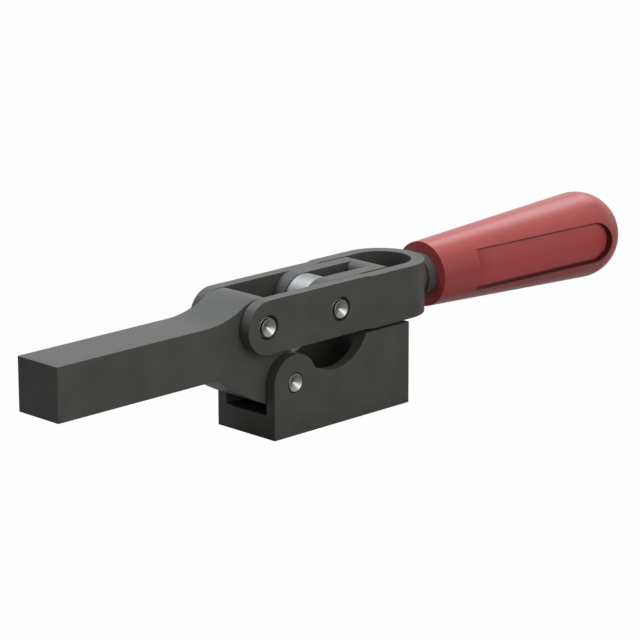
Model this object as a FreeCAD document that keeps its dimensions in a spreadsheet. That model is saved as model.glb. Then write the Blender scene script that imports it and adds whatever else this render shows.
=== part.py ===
import FreeCAD, Part
import math
import os
import Sketcher

# Horizontal toggle clamp, in millimetres.
# X runs along the clamp, from the tip of the arm (-X) to the grip (+X). Z is up.
# The origin is the centre of the base's bottom face.

os.makedirs("parts", exist_ok=True)
doc = FreeCAD.newDocument("toggle_clamp")

# Driving sizes
DRIVING = {
    # base, places along X counted from the arm pivot
    "base_length": 88.9,
    "cheek_thickness": 5.55,
    "block_height": 40.0,
    "cheek_round": 13.5,
    "notch_round": 23.3,
    "notch_front_offset": 12.45,
    "notch_rear_offset": 46.45,
    "slot_side_clearance": 0.25,
    "slot_floor_clearance": 1.2,
    "slot_end_offset": 38.45,
    "lug_side_clearance": 0.35,
    "lug_top_clearance": 0.45,
    "lug_root": 4.0,
    "lug_slot_clearance": 0.7375,
    "lug_slot_angle": 33.0,
    # pivots, places along X counted from the arm pivot
    "arm_pivot_height": 25.3,
    "yoke_clearance": 2.1,
    "handle_pivot_offset": -17.25,
    "toggle_pivot_offset": 29.15,
    "link_pivot_offset": 60.35,
    "pin_diameter": 9.525,
    "pin_dish_round": 4.2,
    "pin_dish_depth": 1.5,
    "pin_setback": 0.4,
    "running_gap": 0.05,
    "countersink_round": 6.15,
    # arm, heights counted down from its crown
    "arm_width": 26.5,
    "bar_reach": 119.2,
    "bar_drop": 8.3,
    "bar_height": 25.4,
    "shoulder_reach": 9.3,
    "shoulder_drop": 2.25,
    "ramp_length": 23.2,
    "bar_bottom_offset": -43.25,
    "throat_round": 138.5,
    "throat_offset": -4.15,
    "arm_lower_round": 12.9,
    "arm_waist_round": 40.0,
    "waist_drop": 4.0,
    "waist_rise": 8.0,
    "bush_wall": 1.6,
    "bush_fit": 0.03,
    # handle, places along X counted from the arm pivot
    "yoke_round": 12.75,
    "yoke_gap": 0.4,
    "wall_thickness": 6.0,
    "joggle_offset": 45.45,
    "joggle_length": 4.0,
    "joggle_step": 1.1,
    "rear_wall_thickness": 6.45,
    "rear_round_offset": 75.15,
    "neck_round": 9.0,
    "neck_length": 2.2,
    "collar_round": 10.5,
    "collar_length": 9.0,
    "shank_round": 6.5,
    "shank_length": 119.4,
    "shank_chamfer": 2.0,
    # link
    "link_gap": 0.2,
    "fork_gap": 12.2,
    "pocket_end_offset": -2.4,
    "tail_corner": 9.05,
    "bridge_thickness": 4.0,
    "spacer_round": 12.6,
    "spacer_play": 0.1,
    # grip
    "grip_lap": 3.9,
    "grip_front_round": 16.0,
    "grip_taper_length": 114.4,
    "grip_rear_round": 22.0,
    "panel_front_offset": 23.8,
    "panel_rear_offset": 3.4,
    "panel_half_height": 10.1,
    "panel_corner": 3.0,
    "panel_depth": 3.5,
}

sheet = doc.addObject("Spreadsheet::Sheet", "Sizes")
for row, (name, number) in enumerate(DRIVING.items(), start=1):
    sheet.set("A%d" % row, name)
    sheet.set("B%d" % row, str(number))
    sheet.setAlias("B%d" % row, name)
doc.recompute()


class Size:
    """A size that knows its number now and the expression that ties it to the sheet."""

    def __init__(self, number, text):
        self.number = float(number)
        self.text = text

    @staticmethod
    def of(thing):
        return thing if isinstance(thing, Size) else Size(thing, repr(float(thing)))

    def join(self, sign, other, number):
        return Size(number, "(%s %s %s)" % (self.text, sign, other.text))

    def __add__(self, other):
        other = Size.of(other)
        return self.join("+", other, self.number + other.number)

    def __radd__(self, other):
        return Size.of(other) + self

    def __sub__(self, other):
        other = Size.of(other)
        return self.join("-", other, self.number - other.number)

    def __rsub__(self, other):
        return Size.of(other) - self

    def __mul__(self, other):
        other = Size.of(other)
        return self.join("*", other, self.number * other.number)

    def __rmul__(self, other):
        return Size.of(other) * self

    def __truediv__(self, other):
        other = Size.of(other)
        return self.join("/", other, self.number / other.number)

    def __neg__(self):
        return Size(-self.number, "(0 - %s)" % self.text)

    def root(self):
        return Size(math.sqrt(self.number), "sqrt(%s)" % self.text)

    def cosine(self):
        return Size(math.cos(math.radians(self.number)), "cos(%s * 1 deg)" % self.text)

    def sine(self):
        return Size(math.sin(math.radians(self.number)), "sin(%s * 1 deg)" % self.text)


def size(name):
    return Size(sheet.get(name), "Sizes." + name)


def side_of_circle(radius, offset):
    """How far a circle of this radius reaches sideways at this offset from its centre."""
    return (radius * radius - offset * offset).root()


def level_arc(run, rise):
    """Radius of the arc that starts or ends level and covers this run and rise."""
    return (run * run + rise * rise) / (2 * rise)


# Sizes that several pieces share
base_half = size("base_length") / 2
arm_place = size("cheek_round") - base_half
arm_pivot = (arm_place, size("arm_pivot_height"))
yoke_round = size("yoke_round")
yoke_middle = size("block_height") + size("yoke_clearance") + yoke_round
handle_pivot = (arm_place + size("handle_pivot_offset"), yoke_middle)
toggle_pivot = (arm_place + size("toggle_pivot_offset"), yoke_middle)
link_pivot = (arm_place + size("link_pivot_offset"), yoke_middle)
pin_round = size("pin_diameter") / 2
pin_bore = pin_round + size("running_gap")
bush_round = pin_bore + size("bush_wall")
half_arm = size("arm_width") / 2
half_slot = half_arm + size("slot_side_clearance")
half_base = half_slot + size("cheek_thickness")
yoke_inner = half_arm + size("yoke_gap")
yoke_outer = yoke_inner + size("wall_thickness")
rear_inner = yoke_inner + size("joggle_step")
rear_outer = rear_inner + size("rear_wall_thickness")
half_link = yoke_inner - size("link_gap")
under_bridge = yoke_round - size("bridge_thickness")
half_spacer = size("fork_gap") / 2 - size("spacer_play")
collar_front = arm_place + size("rear_round_offset") + rear_outer + size("neck_length")
collar_rear = collar_front + size("collar_length")
shank_end = collar_rear + size("shank_length")
past = 2.0


def new_body(label):
    """A body whose label is the node's name."""
    body = doc.addObject("PartDesign::Body", label)
    body.Label = label
    return body


def place(thing, x, z):
    """Bind a body's placement to the sheet."""
    thing.setExpression("Placement.Base.x", Size.of(x).text)
    thing.setExpression("Placement.Base.z", Size.of(z).text)


def plane_of(body, role):
    for feature in body.Origin.OriginFeatures:
        if feature.Role == role:
            return feature
    raise ValueError(role)


def new_sketch(body, role, offset=(0.0, 0.0, 0.0)):
    """A sketch on one of the body's own origin planes, moved by offset in the plane's axes."""
    sketch = body.newObject("Sketcher::SketchObject", body.Label + "_sketch")
    sketch.AttachmentSupport = [(plane_of(body, role), "")]
    sketch.MapMode = "FlatFace"
    for axis, amount in zip("xyz", offset):
        if isinstance(amount, Size):
            sketch.setExpression("AttachmentOffset.Base." + axis, amount.text)
    return sketch


def bind(sketch, kind, where, amount):
    """Add one dimension and tie it to its expression."""
    index = sketch.addConstraint(Sketcher.Constraint(kind, *where, amount.number))
    sketch.setExpression("Constraints[%d]" % index, amount.text)


def minor_arc(start, end, radius):
    """The arc from start to end that turns left for a positive radius and right for a negative one."""
    middle = (start + end) / 2
    chord = end - start
    left = FreeCAD.Vector(-chord.y, chord.x, 0).normalize()
    reach = math.sqrt(max(radius * radius - chord.Length ** 2 / 4, 0.0))
    centre = middle + left * math.copysign(reach, radius)
    first, last = (start, end) if radius > 0 else (end, start)
    angles = [math.atan2(point.y - centre.y, point.x - centre.x) for point in (first, last)]
    circle = Part.Circle(centre, FreeCAD.Vector(0, 0, 1), abs(radius))
    return Part.ArcOfCircle(circle, angles[0], angles[1])


def outline(sketch, points):
    """A closed outline through points. A third number is the signed radius of the edge that leaves it."""
    corners = [FreeCAD.Vector(Size.of(point[0]).number, Size.of(point[1]).number, 0) for point in points]
    radii = [point[2] if len(point) > 2 else None for point in points]
    ends = []
    for start, end, radius in zip(corners, corners[1:] + corners[:1], radii):
        if radius is None:
            edge = sketch.addGeometry(Part.LineSegment(start, end))
            ends.append((edge, 1, 2))
        else:
            edge = sketch.addGeometry(minor_arc(start, end, radius.number))
            ends.append((edge, 1, 2) if radius.number > 0 else (edge, 2, 1))
    for (edge, _, last), (after, first, _) in zip(ends, ends[1:] + ends[:1]):
        sketch.addConstraint(Sketcher.Constraint("Coincident", edge, last, after, first))
    for (edge, first, _), point, radius in zip(ends, points, radii):
        bind(sketch, "DistanceX", (edge, first), Size.of(point[0]))
        bind(sketch, "DistanceY", (edge, first), Size.of(point[1]))
        if radius is not None:
            bind(sketch, "Radius", (edge,), radius if radius.number > 0 else -radius)
    return sketch


def feature(body, kind, sketch):
    made = body.newObject("PartDesign::" + kind, body.Label + "_" + kind.lower())
    made.Profile = (sketch, [""])
    return made


def slab(body, kind, sketch, width):
    """A pad or pocket that reaches width / 2 to each side of its sketch."""
    made = feature(body, kind, sketch)
    made.SideType = "Symmetric"
    made.setExpression("Length", width.text)
    return made


def turned(body, kind, sketch, axis):
    """A revolution or groove about an axis of its own sketch."""
    made = feature(body, kind, sketch)
    made.ReferenceAxis = (sketch, [axis])
    made.Angle = 360
    return made


def bore(body, centre, half_width, radius, countersink=None):
    """A hole along Y through both sides of a body, with a cone at each mouth where one is asked for."""
    x, z = centre
    sketch = new_sketch(body, "XY_Plane", (x, 0.0, z))
    edge = half_width + past
    if countersink is None:
        outline(sketch, [(0, -edge), (radius, -edge), (radius, edge), (0, edge)])
    else:
        depth = countersink - radius
        outline(sketch, [
            (0, -edge), (countersink, -edge), (countersink, -half_width), (radius, depth - half_width),
            (radius, half_width - depth), (countersink, half_width), (countersink, edge), (0, edge)])
    return turned(body, "Groove", sketch, "V_Axis")


def pin(label, centre, half_length):
    """A headless pin along Y with a conical dish in each end."""
    body = new_body(label)
    place(body, *centre)
    dish = size("pin_dish_round")
    floor = half_length - size("pin_dish_depth")
    outline(new_sketch(body, "XY_Plane"), [
        (0, -floor), (dish, -half_length), (pin_round, -half_length), (pin_round, half_length),
        (dish, half_length), (0, floor)])
    turned(body, "Revolution", body.Group[-1], "V_Axis")
    return body


def ring(label, centre, half_length, inner, outer):
    """A plain round bush along Y, or a plain pin where inner is nought."""
    body = new_body(label)
    place(body, *centre)
    outline(new_sketch(body, "XY_Plane"), [
        (inner, -half_length), (outer, -half_length), (outer, half_length), (inner, half_length)])
    turned(body, "Revolution", body.Group[-1], "V_Axis")
    return body


# Base: block, cheeks, notch, slot and lug
def build_base():
    body = new_body("base")
    place(body, 0, 0)
    height = size("block_height")
    cheek = size("cheek_round")
    notch_front = arm_place + size("notch_front_offset")
    notch_rear = arm_place + size("notch_rear_offset")
    notch_foot = arm_pivot[1] + side_of_circle(cheek, size("notch_front_offset"))
    profile = outline(new_sketch(body, "XZ_Plane"), [
        (-base_half, 0), (base_half, 0), (base_half, height),
        (notch_rear, height, -size("notch_round")),
        (notch_front, notch_foot, cheek),
        (-base_half, arm_pivot[1])])
    slab(body, "Pad", profile, 2 * half_base)

    slot_end = arm_place + size("slot_end_offset")
    slot_floor = arm_pivot[1] - size("arm_lower_round") - size("slot_floor_clearance")
    front = -base_half - past
    slot = outline(new_sketch(body, "XY_Plane", (0.0, 0.0, slot_floor)), [
        (front, -half_slot), (slot_end, -half_slot, half_slot), (slot_end + half_slot, 0, half_slot),
        (slot_end, half_slot), (front, half_slot)])
    cut = feature(body, "Pocket", slot)
    cut.Reversed = True
    cut.setExpression("Length", height.text)

    x, z = link_pivot
    crown = under_bridge - size("lug_top_clearance")
    root = height - size("lug_root")
    lug_width = size("fork_gap") - 2 * size("lug_side_clearance")
    lug = outline(new_sketch(body, "XZ_Plane"), [
        (x - crown, root), (x + crown, root), (x + crown, z, crown), (x, z + crown, crown), (x - crown, z)])
    slab(body, "Pad", lug, lug_width)

    half = pin_round + size("lug_slot_clearance")
    angle = size("lug_slot_angle")
    along = (angle.cosine(), angle.sine())
    reach = 2 * crown
    side = (half * along[1], half * along[0])
    mouth = outline(new_sketch(body, "XZ_Plane"), [
        (x - half * along[0], z - half * along[1], half),
        (x + side[0], z - side[1]),
        (x + side[0] + reach * along[0], z - side[1] + reach * along[1]),
        (x - side[0] + reach * along[0], z + side[1] + reach * along[1]),
        (x - side[0], z + side[1], half)])
    slab(body, "Pocket", mouth, lug_width + past)

    bore(body, arm_pivot, half_base, pin_bore)
    return body


# Arm: square bar, swept shoulder, two lobes
def build_arm():
    body = new_body("clamp_arm")
    place(body, 0, 0)
    x, z = handle_pivot
    crown = z + yoke_round
    top = crown - size("bar_drop")
    bottom = top - size("bar_height")
    tip = x - size("bar_reach")
    shoulder = (x - size("shoulder_reach"), crown - size("shoulder_drop"))
    top_end = shoulder[0] - size("ramp_length")
    lower = size("arm_lower_round")
    throat_foot = arm_pivot[1] - side_of_circle(lower, size("throat_offset"))
    drop = size("waist_drop")
    rise = size("waist_rise")
    profile = outline(new_sketch(body, "XZ_Plane"), [
        (tip, bottom),
        (arm_place + size("bar_bottom_offset"), bottom, size("throat_round")),
        (arm_place + size("throat_offset"), throat_foot, lower),
        (arm_place + side_of_circle(lower, rise), arm_pivot[1] + rise, -size("arm_waist_round")),
        (x + side_of_circle(yoke_round, drop), z - drop, yoke_round),
        (x, crown, level_arc(x - shoulder[0], crown - shoulder[1])),
        (shoulder[0], shoulder[1], -level_arc(size("ramp_length"), shoulder[1] - top)),
        (top_end, top), (tip, top)])
    slab(body, "Pad", profile, 2 * half_arm)
    for centre in (handle_pivot, arm_pivot):
        bore(body, centre, half_arm, bush_round + size("bush_fit"))
    return body


# Handle: yoke, neck, collar and shank. Its own frame lies at the height of its middle.
def build_handle():
    body = new_body("handle")
    place(body, 0, yoke_middle)
    x = handle_pivot[0]
    front = x - yoke_round
    first = arm_place + size("joggle_offset")
    second = first + size("joggle_length")
    bend = arm_place + size("rear_round_offset")
    plan = outline(new_sketch(body, "XY_Plane"), [
        (front, -yoke_outer), (first, -yoke_outer), (second, -rear_outer),
        (bend, -rear_outer, rear_outer), (bend + rear_outer, 0, rear_outer),
        (bend, rear_outer), (second, rear_outer),
        (first, yoke_outer), (front, yoke_outer),
        (front, yoke_inner), (first, yoke_inner), (second, rear_inner),
        (bend, rear_inner, -rear_inner), (bend + rear_inner, 0, -rear_inner),
        (bend, -rear_inner), (second, -rear_inner), (first, -yoke_inner), (front, -yoke_inner)])
    slab(body, "Pad", plan, 2 * yoke_round)

    for sign in (1, -1):
        corner = outline(new_sketch(body, "XZ_Plane"), [
            (x, sign * yoke_round, sign * yoke_round), (front, 0), (front - past, 0),
            (front - past, sign * (yoke_round + past)), (x, sign * (yoke_round + past))])
        slab(body, "Pocket", corner, 2 * (yoke_outer + past))

    neck = size("neck_round")
    collar = size("collar_round")
    shank = size("shank_round")
    chamfer = size("shank_chamfer")
    root = bend + rear_inner + past
    stem = outline(new_sketch(body, "XZ_Plane"), [
        (root, 0), (shank_end, 0), (shank_end, shank - chamfer), (shank_end - chamfer, shank),
        (collar_rear, shank), (collar_rear, collar),
        (collar_front, collar), (collar_front, neck), (root, neck)])
    turned(body, "Revolution", stem, "H_Axis")

    for pivot in (handle_pivot, toggle_pivot):
        bore(body, (pivot[0], Size.of(0)), yoke_outer, pin_bore, size("countersink_round"))
    return body


# Link: flat-topped forging with round ends, forked at the front and slotted below the bridge at the rear
def build_link():
    body = new_body("toggle_link")
    place(body, 0, yoke_middle)
    front = toggle_pivot[0]
    rear = link_pivot[0]
    corner = size("tail_corner")
    stadium = outline(new_sketch(body, "XZ_Plane"), [
        (front, -yoke_round), (rear, -yoke_round, yoke_round), (rear + yoke_round, 0),
        (rear + yoke_round, yoke_round - corner, corner), (rear + yoke_round - corner, yoke_round),
        (front, yoke_round, yoke_round), (front - yoke_round, 0, yoke_round)])
    slab(body, "Pad", stadium, 2 * half_link)

    clear = yoke_round + past
    end = rear + size("pocket_end_offset")
    nose = size("bridge_thickness")
    gap = outline(new_sketch(body, "XZ_Plane"), [
        (front - clear, -clear), (rear + clear, -clear), (rear + clear, under_bridge),
        (end, under_bridge, -nose), (end + nose, yoke_round), (end + nose, clear), (front - clear, clear)])
    slab(body, "Pocket", gap, size("fork_gap"))

    for pivot in (toggle_pivot, link_pivot):
        bore(body, (pivot[0], Size.of(0)), half_link, pin_bore)
    return body


# Grip: a tapered moulding with a half-round end, bored for the shank, with a bare sunk panel on its near side
def build_grip():
    moulding = new_body("grip_moulding")
    place(moulding, 0, yoke_middle)
    front = collar_rear - size("grip_lap")
    taper_end = front + size("grip_taper_length")
    rear_round = size("grip_rear_round")
    front_round = size("grip_front_round")
    profile = outline(new_sketch(moulding, "XZ_Plane"), [
        (front, 0), (taper_end + rear_round, 0, rear_round), (taper_end, rear_round), (front, front_round)])
    turned(moulding, "Revolution", profile, "H_Axis")

    gap = size("running_gap")
    collar = size("collar_round") + gap
    shank = size("shank_round") + gap
    hollow = outline(new_sketch(moulding, "XZ_Plane"), [
        (front - past, 0), (shank_end + gap, 0), (shank_end + gap, shank), (collar_rear + gap, shank),
        (collar_rear + gap, collar), (front - past, collar)])
    turned(moulding, "Groove", hollow, "H_Axis")

    window = new_body("grip_panel_window")
    place(window, 0, yoke_middle)
    half = size("panel_half_height")
    bend = size("panel_corner")
    panel_front = front + size("panel_front_offset")
    panel_rear = taper_end + size("panel_rear_offset")
    shape = outline(new_sketch(window, "XZ_Plane"), [
        (panel_front + bend, -half), (panel_rear - half, -half, half), (panel_rear, 0, half),
        (panel_rear - half, half), (panel_front + bend, half, bend),
        (panel_front, half - bend), (panel_front, bend - half, bend)])
    prism = feature(window, "Pad", shape)
    prism.setExpression("Length", (2 * rear_round).text)

    slope = (rear_round - front_round) / size("grip_taper_length")
    floor_front = front_round + slope * size("panel_front_offset") - size("panel_depth")
    floor_rear = rear_round + slope * size("panel_rear_offset") - size("panel_depth")
    below = outline(new_sketch(window, "XY_Plane"), [
        (panel_front, past), (panel_front, -floor_front), (panel_rear, -floor_rear), (panel_rear, past)])
    slab(window, "Pocket", below, 2 * (half + past))

    grip = doc.addObject("Part::Cut", "grip")
    grip.Base = moulding
    grip.Tool = window
    return grip


nodes = [
    build_base(),
    pin("arm_pivot_pin", arm_pivot, half_base),
    build_arm(),
    ring("arm_lower_bushing", arm_pivot, half_arm, pin_bore, bush_round),
    ring("arm_upper_bushing", handle_pivot, half_arm, pin_bore, bush_round),
    build_handle(),
    pin("handle_pivot_pin", handle_pivot, yoke_outer - size("pin_setback")),
    pin("toggle_pin", toggle_pivot, yoke_outer - size("pin_setback")),
    ring("link_spacer", toggle_pivot, half_spacer, pin_bore, size("spacer_round")),
    build_link(),
    ring("base_link_pin", link_pivot, half_link, Size.of(0), pin_round),
    build_grip(),
]
doc.recompute()

for thing in doc.Objects:
    if "Invalid" in thing.State or "Error" in thing.State:
        raise RuntimeError("%s is %s" % (thing.Label, thing.State))

for node in nodes:
    shape = node.Shape
    if shape.isNull() or not shape.isValid() or len(shape.Solids) != 1:
        raise RuntimeError(node.Label + " has no single valid solid")

for node in nodes:
    node.Shape.exportStep("parts/%s.step" % node.Label)
    print("%-20s %9.1f mm3  %s" % (node.Label, node.Shape.Volume, node.Shape.BoundBox))
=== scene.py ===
import math

import bmesh
import bpy
from bpy.props import FloatProperty, FloatVectorProperty, PointerProperty
from mathutils import Matrix, Vector


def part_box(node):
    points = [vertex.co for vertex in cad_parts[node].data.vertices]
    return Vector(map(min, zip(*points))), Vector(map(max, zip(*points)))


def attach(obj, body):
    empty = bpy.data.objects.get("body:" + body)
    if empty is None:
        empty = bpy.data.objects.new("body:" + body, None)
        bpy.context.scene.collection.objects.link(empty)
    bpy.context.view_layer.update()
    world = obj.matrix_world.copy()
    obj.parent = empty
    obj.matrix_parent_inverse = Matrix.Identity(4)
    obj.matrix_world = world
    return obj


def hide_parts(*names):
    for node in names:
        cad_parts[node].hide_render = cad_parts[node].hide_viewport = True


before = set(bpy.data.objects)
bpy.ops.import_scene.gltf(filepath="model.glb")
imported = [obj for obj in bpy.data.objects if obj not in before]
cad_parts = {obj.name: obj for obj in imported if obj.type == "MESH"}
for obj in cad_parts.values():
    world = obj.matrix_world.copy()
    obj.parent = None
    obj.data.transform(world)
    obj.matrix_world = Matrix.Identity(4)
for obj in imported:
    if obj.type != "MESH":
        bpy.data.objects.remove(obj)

bl_info = {
    "name": "Horizontal toggle clamp",
    "version": (1, 0, 0),
    "blender": (4, 5, 0),
    "location": "View3D > Sidebar > Clamp",
    "description": "Finishes the pieces of a heavy horizontal toggle clamp and sets up its stage",
    "category": "Object",
}

MM = 0.001

# Each forging's body
FORGINGS = {"base": "base", "clamp_arm": "arm", "handle": "handle", "toggle_link": "link"}

# Each pin's body, and how far its ends stand out past those of its solid, in millimetres
PINS = {
    "arm_pivot_pin": ("base", 0.0),
    "handle_pivot_pin": ("handle", 0.35),
    "toggle_pin": ("handle", 0.35),
    "base_link_pin": ("link", 0.0),
}

# The pins that sit in a countersink of the handle
COUNTERSUNK = ("handle_pivot_pin", "toggle_pin")

# The bushes inside the arm, which keep their solids' meshes
HIDDEN = ("arm_lower_bushing", "arm_upper_bushing")


# Settings that a user would change
class ClampSizes(bpy.types.PropertyGroup):
    forging_edge: FloatProperty(
        name="Forging edge", description="Width of the rounding along a forging's edges",
        default=0.35 * MM, min=0.05 * MM, max=2 * MM, subtype="DISTANCE", unit="LENGTH")
    grip_edge: FloatProperty(
        name="Grip edge", description="Width of the rounding along the grip's edges",
        default=0.25 * MM, min=0.05 * MM, max=2 * MM, subtype="DISTANCE", unit="LENGTH")
    pin_edge: FloatProperty(
        name="Pin edge", description="Width of the rounding along the edges of pins and bushes",
        default=0.15 * MM, min=0.02 * MM, max=1 * MM, subtype="DISTANCE", unit="LENGTH")
    # Radius of the painted shade round each countersunk pin in the handle.
    countersink: FloatProperty(
        name="Countersink", description="Radius of the dark countersink round a pin in the handle",
        default=6.0 * MM, min=5 * MM, max=8 * MM, subtype="DISTANCE", unit="LENGTH")
    pin_nose: FloatProperty(
        name="Pin nose", description="How far a pin's end is turned down below its full radius",
        default=0.42 * MM, min=0.05 * MM, max=1 * MM, subtype="DISTANCE", unit="LENGTH")
    pin_nose_length: FloatProperty(
        name="Nose length", description="Length of a pin's turned down end",
        default=1.6 * MM, min=0.5 * MM, max=3 * MM, subtype="DISTANCE", unit="LENGTH")
    pin_rim: FloatProperty(
        name="Pin rim", description="Width of the flat rim round the dish in a pin's end",
        default=0.3 * MM, min=0.1 * MM, max=1 * MM, subtype="DISTANCE", unit="LENGTH")
    pin_dish_depth: FloatProperty(
        name="Dish depth", description="Depth of the conical dish in the end of a pin",
        default=2.1 * MM, min=0.2 * MM, max=3 * MM, subtype="DISTANCE", unit="LENGTH")


class ClampLooks(bpy.types.PropertyGroup):
    oxide: FloatVectorProperty(
        name="Oxide", description="Colour of the black oxide on the forgings",
        default=(0.064, 0.062, 0.055), subtype="COLOR", min=0, max=1)
    steel: FloatVectorProperty(
        name="Steel", description="Colour of the turned pins",
        default=(0.275, 0.268, 0.245), subtype="COLOR", min=0, max=1)
    bush: FloatVectorProperty(
        name="Bush", description="Colour of the spacer and the bushes",
        default=(0.195, 0.193, 0.185), subtype="COLOR", min=0, max=1)
    vinyl: FloatVectorProperty(
        name="Vinyl", description="Colour of the grip",
        default=(0.3, 0.0415, 0.0375), subtype="COLOR", min=0, max=1)


class ClampPanel(bpy.types.PropertyGroup):
    front: FloatProperty(
        name="Panel front", default=96.5,
        description="Place along the clamp of the grip panel's front edge, in millimetres")
    rear: FloatProperty(
        name="Panel rear", default=190.5,
        description="Place along the clamp of the panel's rounded rear end, in millimetres")
    middle: FloatProperty(
        name="Panel middle", default=54.85,
        description="Height of the panel's middle line, in millimetres")
    half: FloatProperty(
        name="Panel half height", default=10.1, min=1,
        description="Half the panel's height, in millimetres")
    # The line and band below are painted shade round the panel's recess.
    line: FloatProperty(
        name="Panel line", default=0.55, min=0,
        description="Half the width of the dark line round the panel, in millimetres")
    band: FloatProperty(
        name="Lower band", default=2.0, min=0,
        description="Width of the dark band inside the lower edge, in millimetres")
    crown: FloatProperty(
        name="Crown radius", default=21.0, min=1,
        description="Radius across the panel that its floor is shaded with, in millimetres")


class ClampStage(bpy.types.PropertyGroup):
    azimuth: FloatProperty(
        name="Azimuth", description="Turn of the camera about the vertical, from the near side",
        default=math.radians(-44.754), subtype="ANGLE", unit="ROTATION")
    elevation: FloatProperty(
        name="Elevation", description="Height angle of the camera",
        default=math.radians(15.155), subtype="ANGLE", unit="ROTATION")
    roll: FloatProperty(
        name="Roll", description="Turn of the camera about its own axis",
        default=math.radians(-0.107), subtype="ANGLE", unit="ROTATION")
    distance: FloatProperty(
        name="Distance", description="Distance of the camera from the base, along its own axis",
        default=1400.4 * MM, subtype="DISTANCE", unit="LENGTH")
    aside: FloatProperty(
        name="Aside", description="How far the base lies to the left of the camera's axis",
        default=2.512 * MM, subtype="DISTANCE", unit="LENGTH")
    below: FloatProperty(
        name="Below", description="How far the base lies below the camera's axis",
        default=44.01 * MM, subtype="DISTANCE", unit="LENGTH")
    lens: FloatProperty(
        name="Lens", default=166.69, min=10, max=500,
        description="Focal length for a square frame on a 36 mm sensor, in millimetres")
    top_light: FloatProperty(
        name="Top light", default=13.5, min=0,
        description="Power of the lamp above, in watts")
    side_light: FloatProperty(
        name="Side light", default=4.3, min=0,
        description="Power of the large lamp on the near side, in watts")
    front_light: FloatProperty(
        name="Front light", default=1.4, min=0,
        description="Power of the small lamp straight before the pins, in watts")
    rim_light: FloatProperty(
        name="Rim light", default=1.7, min=0,
        description="Power of the lamp above the grip's end, in watts")
    sky_glow: FloatProperty(
        name="Sky glow", default=0.6, min=0,
        description="Strength of the sky's light from above")
    side_glow: FloatProperty(
        name="Side glow", default=0.38, min=0,
        description="Strength of the sky's light from the near side")


# Shader building
class Wire:
    """A socket that Python's operators work on: each adds a Math node."""

    def __init__(self, nodes, socket):
        self.nodes = nodes
        self.socket = socket

    def maths(self, operation, *values):
        return self.nodes.add(
            "ShaderNodeMath", {"operation": operation}, dict(enumerate(values)))

    def __add__(self, other):
        return self.maths("ADD", self, other)

    def __radd__(self, other):
        return self.maths("ADD", other, self)

    def __sub__(self, other):
        return self.maths("SUBTRACT", self, other)

    def __rsub__(self, other):
        return self.maths("SUBTRACT", other, self)

    def __mul__(self, other):
        return self.maths("MULTIPLY", self, other)

    def __rmul__(self, other):
        return self.maths("MULTIPLY", other, self)

    def __abs__(self):
        return self.maths("ABSOLUTE", self)

    def root(self):
        return self.maths("SQRT", self)

    def at_least(self, other):
        return self.maths("MAXIMUM", self, other)

    def clamped(self):
        return self.maths("MINIMUM", self.at_least(0.0), 1.0)

    def faded(self, width):
        """0 where the value is 0 or less, rising evenly to 1 where it reaches the width."""
        return (1 / width * self).clamped()

    def output(self, index):
        """Another output of the same node."""
        return Wire(self.nodes, self.socket.node.outputs[index])


class Nodes:
    """The node tree of one material or of the world."""

    def __init__(self, owner):
        owner.use_nodes = True
        self.tree = owner.node_tree
        self.tree.nodes.clear()

    def add(self, kind, settings=None, inputs=None, output=0):
        """Make a node, set it up, then fill its sockets with numbers, colours or wires."""
        node = self.tree.nodes.new(kind)
        for name, value in (settings or {}).items():
            if name == "stops":
                self.set_stops(node, value)
            else:
                setattr(node, name, value)
        for key, value in (inputs or {}).items():
            if isinstance(value, Wire):
                self.tree.links.new(value.socket, node.inputs[key])
            else:
                node.inputs[key].default_value = value
        return None if output is None else Wire(self, node.outputs[output])

    @staticmethod
    def set_stops(node, stops):
        """Place the two stops of a grey ramp."""
        for element, (place, grey) in zip(node.color_ramp.elements, stops):
            element.position = place
            element.color = (grey, grey, grey, 1)

    def out(self, kind, shader):
        self.add(kind, inputs={"Surface": shader}, output=None)

    def place(self, scale=(1, 1, 1)):
        """Object coordinates in millimetres, times scale."""
        coordinates = self.add("ShaderNodeTexCoord", output="Object")
        return self.add("ShaderNodeMapping", inputs={
            "Vector": coordinates, "Scale": [factor / MM for factor in scale]})

    def noise(self, where, scale, detail, roughness=0.55):
        return self.add("ShaderNodeTexNoise", inputs={
            "Vector": where, "Scale": scale, "Detail": detail, "Roughness": roughness})

    def ramp(self, value, stops):
        return self.add("ShaderNodeValToRGB", {"stops": stops}, {"Fac": value})

    def vector(self, operation, first, second, output):
        return self.add(
            "ShaderNodeVectorMath", {"operation": operation}, {0: first, 1: second}, output)

    def mix(self, factor, first, second):
        """A mix of two colours, which are on the Mix node's sockets 6 and 7."""
        return self.add(
            "ShaderNodeMix", {"data_type": "RGBA"}, {0: factor, 6: first, 7: second}, output=2)

    def mix_shaders(self, factor, first, second):
        return self.add("ShaderNodeMixShader", inputs={0: factor, 1: first, 2: second})

    def seen(self, gloss=1.0):
        """1 for the rays that show the backdrop: of the camera, of glass and a share of gloss."""
        camera, glossy, glass = [
            self.add("ShaderNodeLightPath", output=name)
            for name in ("Is Camera Ray", "Is Glossy Ray", "Is Transmission Ray")]
        return (camera + glass + gloss * glossy).clamped()

    def facing(self, direction, aim):
        """How squarely a direction faces the aim: 1 straight on, 0 at right angles and beyond."""
        return self.vector("DOT_PRODUCT", direction, aim, "Value").at_least(0.0)

    def bump(self, height, distance, strength=1.0):
        return self.add("ShaderNodeBump", inputs={
            "Height": height, "Distance": distance, "Strength": strength})


def rgba(colour, gain=1.0):
    """The colour times gain, with its alpha."""
    return (*[min(1.0, channel * gain) for channel in colour], 1.0)


def near_axis(nodes, where, centre, radius):
    """1 within a radius of an axis that runs along Y, and 0 beyond it."""
    flat = nodes.vector("MULTIPLY", where, (1, 0, 1), "Vector")
    axis = (centre.x / MM, 0, centre.z / MM)
    far = nodes.vector("DISTANCE", flat, axis, "Value")
    return (radius / MM - far).faded(0.25)


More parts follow.
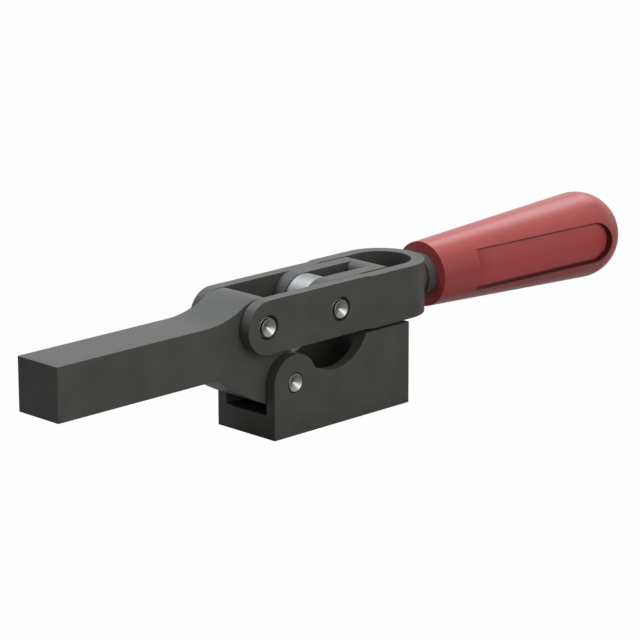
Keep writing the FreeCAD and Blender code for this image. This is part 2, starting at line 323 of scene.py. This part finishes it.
def oxide_material(looks, name="black_oxide", bores=()):
    """Satin black oxide on forged and machined steel, with painted shade round the bores."""
    material = bpy.data.materials.new(name)
    nodes = Nodes(material)
    where = nodes.place()
    cloud = nodes.noise(where, scale=0.055, detail=4.0)
    grain = nodes.noise(where, scale=1.4, detail=3.0, roughness=0.65)
    forged = nodes.noise(where, scale=0.3, detail=2.0)
    blotch = nodes.ramp(cloud, [(0.3, 0.0), (0.72, 1.0)])
    worn = (0.085, 0.085, 0.082)
    colour = nodes.mix(blotch, rgba(looks.oxide, 0.88), rgba(looks.oxide, 1.14))
    colour = nodes.mix(0.12 * grain, colour, rgba(worn))
    # Painted shade: the oxide is darkened within a radius of each bore, standing in for the shade
    # in the countersinks.
    for centre, radius in bores:
        countersink_shade = near_axis(nodes, where, centre, radius)
        colour = nodes.mix(countersink_shade, colour, rgba(looks.oxide, 0.25))
    shader = nodes.add("ShaderNodeBsdfPrincipled", inputs={
        "Base Color": colour, "Roughness": 0.36 + 0.1 * cloud + 0.08 * grain,
        "Metallic": 0.0, "Specular IOR Level": 0.15,
        "Normal": nodes.bump(grain + 0.6 * forged, 0.02 * MM, 0.6)})
    nodes.out("ShaderNodeOutputMaterial", shader)
    return material


def turned_material(name, colour, roughness, pitch):
    """Turned or ground steel, whose fine marks are closer along Y by the pitch."""
    material = bpy.data.materials.new(name)
    nodes = Nodes(material)
    fine = nodes.noise(nodes.place((1, pitch, 1)), scale=0.9, detail=2.0)
    cloud = nodes.noise(nodes.place(), scale=0.4, detail=3.0)
    shader = nodes.add("ShaderNodeBsdfPrincipled", inputs={
        "Base Color": nodes.mix(cloud, rgba(colour, 0.9), rgba(colour, 1.08)),
        "Roughness": roughness + 0.12 * fine, "Metallic": 1.0,
        "Normal": nodes.bump(fine, 0.01 * MM, 0.5)})
    nodes.out("ShaderNodeOutputMaterial", shader)
    return material


def panel_masks(nodes, where, panel):
    """The grip's panel: masks of its painted shade line and of its floor, which gets painted
    light, and the floor's crown.

    All lengths are in millimetres. The painted shade line is thin all round, with a band of
    painted shade inside the lower edge, and the floor and its crown rise from the front edge.
    """
    along = nodes.add("ShaderNodeSeparateXYZ", inputs={"Vector": where})
    height = along.output(2) - panel.middle
    inward = along - panel.front
    past = (along - (panel.rear - panel.half)).at_least(0.0)
    rim = (past * past + height * height).root() - panel.half
    outside = rim.at_least(panel.front - along)
    # Painted shade: a thin dark line along the panel's edge, where the recess throws shade.
    thin = (panel.line - abs(rim)).faded(0.25) * inward.faded(1.0)
    # Painted shade: a wider dark band inside the lower edge.
    lower = (-4.0 - height).faded(2.0)
    band = (outside + panel.band).faded(0.5) * (0.2 - outside).faded(1 / 3)
    rise = inward.faded(12.5)
    # The floor mask carries both the painted light on the panel's floor and its crown bump.
    floor = rise * (0.0 - outside).faded(0.5)
    arch = (0.5 / panel.crown) * (panel.half ** 2 - height * height)
    return (thin + lower * band).clamped(), floor, floor * (2.0 - rise) * arch


def vinyl_material(looks, panel):
    """Moulded red vinyl with a faint orange peel, with painted shade in the line round the panel
    and painted light on its floor.
    """
    material = bpy.data.materials.new("red_vinyl")
    nodes = Nodes(material)
    where = nodes.place()
    cloud = nodes.noise(where, scale=0.04, detail=3.0)
    peel = nodes.noise(where, scale=0.8, detail=3.0, roughness=0.6)
    line, floor, crown = panel_masks(nodes, where, panel)
    colour = nodes.mix(cloud, rgba(looks.vinyl, 0.9), rgba(looks.vinyl, 1.1))
    # Painted light: the panel's flat floor is lightened to match the lit round of the grip about
    # it.
    colour = nodes.mix(floor, colour, rgba(looks.vinyl, 1.25))
    # Painted shade: the line and band are darkened towards 18 % of the vinyl's colour.
    colour = nodes.mix(0.9 * line, colour, rgba(looks.vinyl, 0.18))
    shader = nodes.add("ShaderNodeBsdfPrincipled", inputs={
        "Base Color": colour, "Roughness": 0.3 + 0.08 * peel, "Specular IOR Level": 0.35,
        "Normal": nodes.bump(0.015 * peel + crown, MM)})
    nodes.out("ShaderNodeOutputMaterial", shader)
    return material


# Mesh building
def placed(made, name):
    """Free a finished bmesh and put it in the scene as a new object."""
    mesh = bpy.data.meshes.new(name)
    made.to_mesh(mesh)
    made.free()
    piece = bpy.data.objects.new(name, mesh)
    bpy.context.scene.collection.objects.link(piece)
    return piece


def merged_copy(node, name):
    """A copy of a node with its loose triangles joined and its flat faces whole."""
    made = bmesh.new()
    made.from_mesh(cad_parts[node].data)
    bmesh.ops.remove_doubles(made, verts=made.verts, dist=0.002 * MM)
    bmesh.ops.dissolve_limit(
        made, angle_limit=math.radians(0.5), verts=made.verts, edges=made.edges,
        use_dissolve_boundaries=False, delimit=set())
    return placed(made, name)


def lathe(name, profile, centre, steps=96):
    """Spin a profile of (radius, place along Y) about the Y axis through centre."""
    made = bmesh.new()
    verts = [made.verts.new((radius, along, 0)) for radius, along in profile]
    edges = [made.edges.new(pair) for pair in zip(verts, verts[1:])]
    bmesh.ops.spin(
        made, geom=verts + edges, axis=(0, 1, 0), cent=(0, 0, 0), angle=2 * math.pi,
        steps=steps, use_merge=True)
    bmesh.ops.remove_doubles(made, verts=made.verts, dist=0.001 * MM)
    bmesh.ops.recalc_face_normals(made, faces=made.faces)
    bmesh.ops.translate(made, verts=made.verts, vec=centre)
    return placed(made, name)


def round_box(node):
    """Centre, radius and half length of a round piece whose axis runs along Y."""
    low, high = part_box(node)
    return (low + high) / 2, (high.x - low.x) / 2, (high.y - low.y) / 2


def finish_edges(piece, width):
    """Round the sharp edges and shade the rest smooth, with the flat faces kept flat."""
    mesh = piece.data
    mesh.polygons.foreach_set("use_smooth", [True] * len(mesh.polygons))
    bevel = piece.modifiers.new("rounding", "BEVEL")
    bevel.width = width
    bevel.segments = 2
    bevel.limit_method = "ANGLE"
    bevel.angle_limit = math.radians(35)
    bevel.use_clamp_overlap = True
    normals = piece.modifiers.new("flats", "WEIGHTED_NORMAL")
    normals.weight = 100
    normals.keep_sharp = True


def dress(piece, node, body, material):
    """Give a piece its finish and body, and let it stand for its node."""
    piece.data.materials.clear()
    piece.data.materials.append(material)
    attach(piece, body)
    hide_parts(node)


class CLAMP_OT_forgings(bpy.types.Operator):
    """Base, arm, handle and link, with their edges rounded and a black oxide finish"""
    bl_idname = "clamp.forgings"
    bl_label = "Forgings"

    def execute(self, context):
        scene = context.scene
        looks, sizes = scene.clamp_looks, scene.clamp_sizes
        # Places and radius of the painted shade round the handle's countersunk pins.
        bores = [(round_box(node)[0], sizes.countersink) for node in COUNTERSUNK]
        plain = oxide_material(looks)
        countersunk = oxide_material(looks, "black_oxide_countersunk", bores)
        for node, body in FORGINGS.items():
            piece = merged_copy(node, node + "_forging")
            finish_edges(piece, sizes.forging_edge)
            dress(piece, node, body, countersunk if node == "handle" else plain)
        return {"FINISHED"}


class CLAMP_OT_pins(bpy.types.Operator):
    """The four pins, turned, with a conical dish in each end"""
    bl_idname = "clamp.pins"
    bl_label = "Pins"

    def execute(self, context):
        scene = context.scene
        sizes = scene.clamp_sizes
        dish = sizes.pin_dish_depth
        point, point_depth = 0.4 * MM, 0.92 * dish
        material = turned_material("turned_steel", scene.clamp_looks.steel, 0.26, 1.0)
        for node, (body, proud) in PINS.items():
            centre, radius, half = round_box(node)
            half += proud * MM
            nose = radius - sizes.pin_nose
            shoulder = half - sizes.pin_nose_length
            end = [
                (0.0, half - dish), (point, half - point_depth), (nose - sizes.pin_rim, half),
                (nose, half), (nose, shoulder), (radius, shoulder)]
            profile = end + [(r, -y) for r, y in reversed(end)]
            piece = lathe(node + "_turned", profile, centre)
            finish_edges(piece, sizes.pin_edge)
            dress(piece, node, body, material)
        return {"FINISHED"}


class CLAMP_OT_bushes(bpy.types.Operator):
    """The spacer between the link's ears, and the ground finish of the bushes out of sight"""
    bl_idname = "clamp.bushes"
    bl_label = "Bushes"

    def execute(self, context):
        scene = context.scene
        material = turned_material("ground_steel", scene.clamp_looks.bush, 0.48, 4.0)
        running_gap, chamfer = 0.05 * MM, 0.5 * MM
        bore = round_box("toggle_pin")[1] + running_gap
        centre, radius, half = round_box("link_spacer")
        inner, flat = radius - chamfer, half - chamfer
        profile = [
            (bore, -half), (inner, -half), (radius, -flat), (radius, flat),
            (inner, half), (bore, half), (bore, -half)]
        piece = lathe("link_spacer_ground", profile, centre)
        finish_edges(piece, scene.clamp_sizes.pin_edge)
        dress(piece, "link_spacer", "handle", material)
        for node in HIDDEN:
            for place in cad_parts[node].material_slots:
                place.material = material
        return {"FINISHED"}


class CLAMP_OT_grip(bpy.types.Operator):
    """The red moulded grip"""
    bl_idname = "clamp.grip"
    bl_label = "Grip"

    def execute(self, context):
        scene = context.scene
        piece = merged_copy("grip", "grip_moulding")
        finish_edges(piece, scene.clamp_sizes.grip_edge)
        dress(piece, "grip", "handle", vinyl_material(scene.clamp_looks, scene.clamp_panel))
        return {"FINISHED"}


def lamp(name, power, side, place, aim, colour=(1, 1, 1)):
    """A square lamp that the camera doesn't see."""
    data = bpy.data.lights.new(name, "AREA")
    data.energy = power
    data.shape = "SQUARE"
    data.size = side
    data.color = colour
    thing = bpy.data.objects.new(name, data)
    thing.location = place
    thing.rotation_euler = (Vector(aim) - Vector(place)).to_track_quat("-Z", "Y").to_euler()
    thing.visible_camera = False
    bpy.context.scene.collection.objects.link(thing)


class CLAMP_OT_stage(bpy.types.Operator):
    """Floor, world, lamps and camera"""
    bl_idname = "clamp.stage"
    bl_label = "Stage"

    def execute(self, context):
        scene = context.scene
        stage = scene.clamp_stage
        self.floor()
        self.world(scene, stage)
        lamp("top_lamp", stage.top_light, 0.5, place=(-0.08, 0.3, 0.95),
             aim=(0.0, 0.0, 0.05), colour=(0.8, 0.89, 1))
        lamp("side_lamp", stage.side_light, 0.8, place=(-0.27, -0.98, 0.4),
             aim=(0.0, 0.0, 0.04), colour=(1, 0.96, 0.91))
        lamp("front_lamp", stage.front_light, 0.33, place=(0.12, -1.05, 0.5),
             aim=(0.0, 0.0, 0.05))
        lamp("rim_lamp", stage.rim_light, 0.38, place=(0.82, 0.31, 0.73),
             aim=(0.14, 0.0, 0.055), colour=(0.94, 0.96, 1))
        self.camera(scene, stage)
        return {"FINISHED"}

    @staticmethod
    def floor():
        """A floor that looks white and throws back a little light."""
        made = bmesh.new()
        bmesh.ops.create_grid(made, x_segments=1, y_segments=1, size=6.0)
        floor = placed(made, "floor")
        material = bpy.data.materials.new("pale_floor")
        nodes = Nodes(material)
        white_share = 0.985 * nodes.seen(gloss=0.15)
        grey = nodes.add("ShaderNodeBsdfDiffuse", inputs={"Color": (0.24, 0.24, 0.24, 1)})
        white = nodes.add(
            "ShaderNodeEmission", inputs={"Color": (1, 1, 1, 1), "Strength": 1.0})
        nodes.out("ShaderNodeOutputMaterial", nodes.mix_shaders(white_share, grey, white))
        floor.data.materials.append(material)

    @staticmethod
    def world(scene, stage):
        """A soft sky that lights the clamp, behind a white backdrop for the camera."""
        world = bpy.data.worlds.new("studio")
        scene.world = world
        nodes = Nodes(world)
        where = nodes.add("ShaderNodeTexCoord", output="Generated")
        above = nodes.facing(where, aim=(0.55, 0.15, 0.82))
        beside = nodes.facing(where, aim=(0.75, -0.6, 0.25))
        soft = nodes.add("ShaderNodeBackground", inputs={
            "Color": (0.94, 0.96, 1, 1),
            "Strength": 0.02 + stage.sky_glow * above + stage.side_glow * beside})
        white = nodes.add(
            "ShaderNodeBackground", inputs={"Color": (1, 1, 1, 1), "Strength": 1.0})
        nodes.out("ShaderNodeOutputWorld", nodes.mix_shaders(nodes.seen(), soft, white))

    @staticmethod
    def camera(scene, stage):
        """The camera of the photograph. It is set by its angles and by where the base lies."""
        azimuth, elevation = stage.azimuth, stage.elevation
        back = Vector((
            math.sin(azimuth) * math.cos(elevation), -math.cos(azimuth) * math.cos(elevation),
            math.sin(elevation)))
        level = Vector((0, 0, 1)).cross(back).normalized()
        upright = back.cross(level)
        right = level * math.cos(stage.roll) + upright * math.sin(stage.roll)
        up = upright * math.cos(stage.roll) - level * math.sin(stage.roll)
        eye = right * stage.aside + up * stage.below + back * stage.distance
        data = bpy.data.cameras.new("camera")
        data.lens = stage.lens
        data.sensor_width = 36
        data.clip_end = 20
        camera = bpy.data.objects.new("camera", data)
        turn = Matrix((right, up, back)).transposed().to_4x4()
        camera.matrix_world = Matrix.Translation(eye) @ turn
        scene.collection.objects.link(camera)
        scene.camera = camera


STEPS = (CLAMP_OT_forgings, CLAMP_OT_pins, CLAMP_OT_bushes, CLAMP_OT_grip, CLAMP_OT_stage)
SETTINGS = {
    "clamp_sizes": ClampSizes,
    "clamp_looks": ClampLooks,
    "clamp_panel": ClampPanel,
    "clamp_stage": ClampStage,
}


class CLAMP_PT_panel(bpy.types.Panel):
    """Lists the clamp's steps and settings"""
    bl_idname = "CLAMP_PT_panel"
    bl_label = "Toggle clamp"
    bl_space_type = "VIEW_3D"
    bl_region_type = "UI"
    bl_category = "Clamp"

    def draw(self, context):
        column = self.layout.column()
        for operator in STEPS:
            column.operator(operator.bl_idname)
        for name, group in SETTINGS.items():
            for setting in group.__annotations__:
                column.prop(getattr(context.scene, name), setting)


def register():
    for name, group in SETTINGS.items():
        bpy.utils.register_class(group)
        setattr(bpy.types.Scene, name, PointerProperty(type=group))
    for item in (*STEPS, CLAMP_PT_panel):
        bpy.utils.register_class(item)


def unregister():
    for item in reversed((*STEPS, CLAMP_PT_panel)):
        bpy.utils.unregister_class(item)
    for name, group in SETTINGS.items():
        delattr(bpy.types.Scene, name)
        bpy.utils.unregister_class(group)


def main():
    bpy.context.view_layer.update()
    register()
    bpy.context.scene.view_settings.view_transform = "Standard"
    bpy.ops.clamp.forgings()
    bpy.ops.clamp.pins()
    bpy.ops.clamp.bushes()
    bpy.ops.clamp.grip()
    bpy.ops.clamp.stage()


if __name__ == "__main__":
    main()
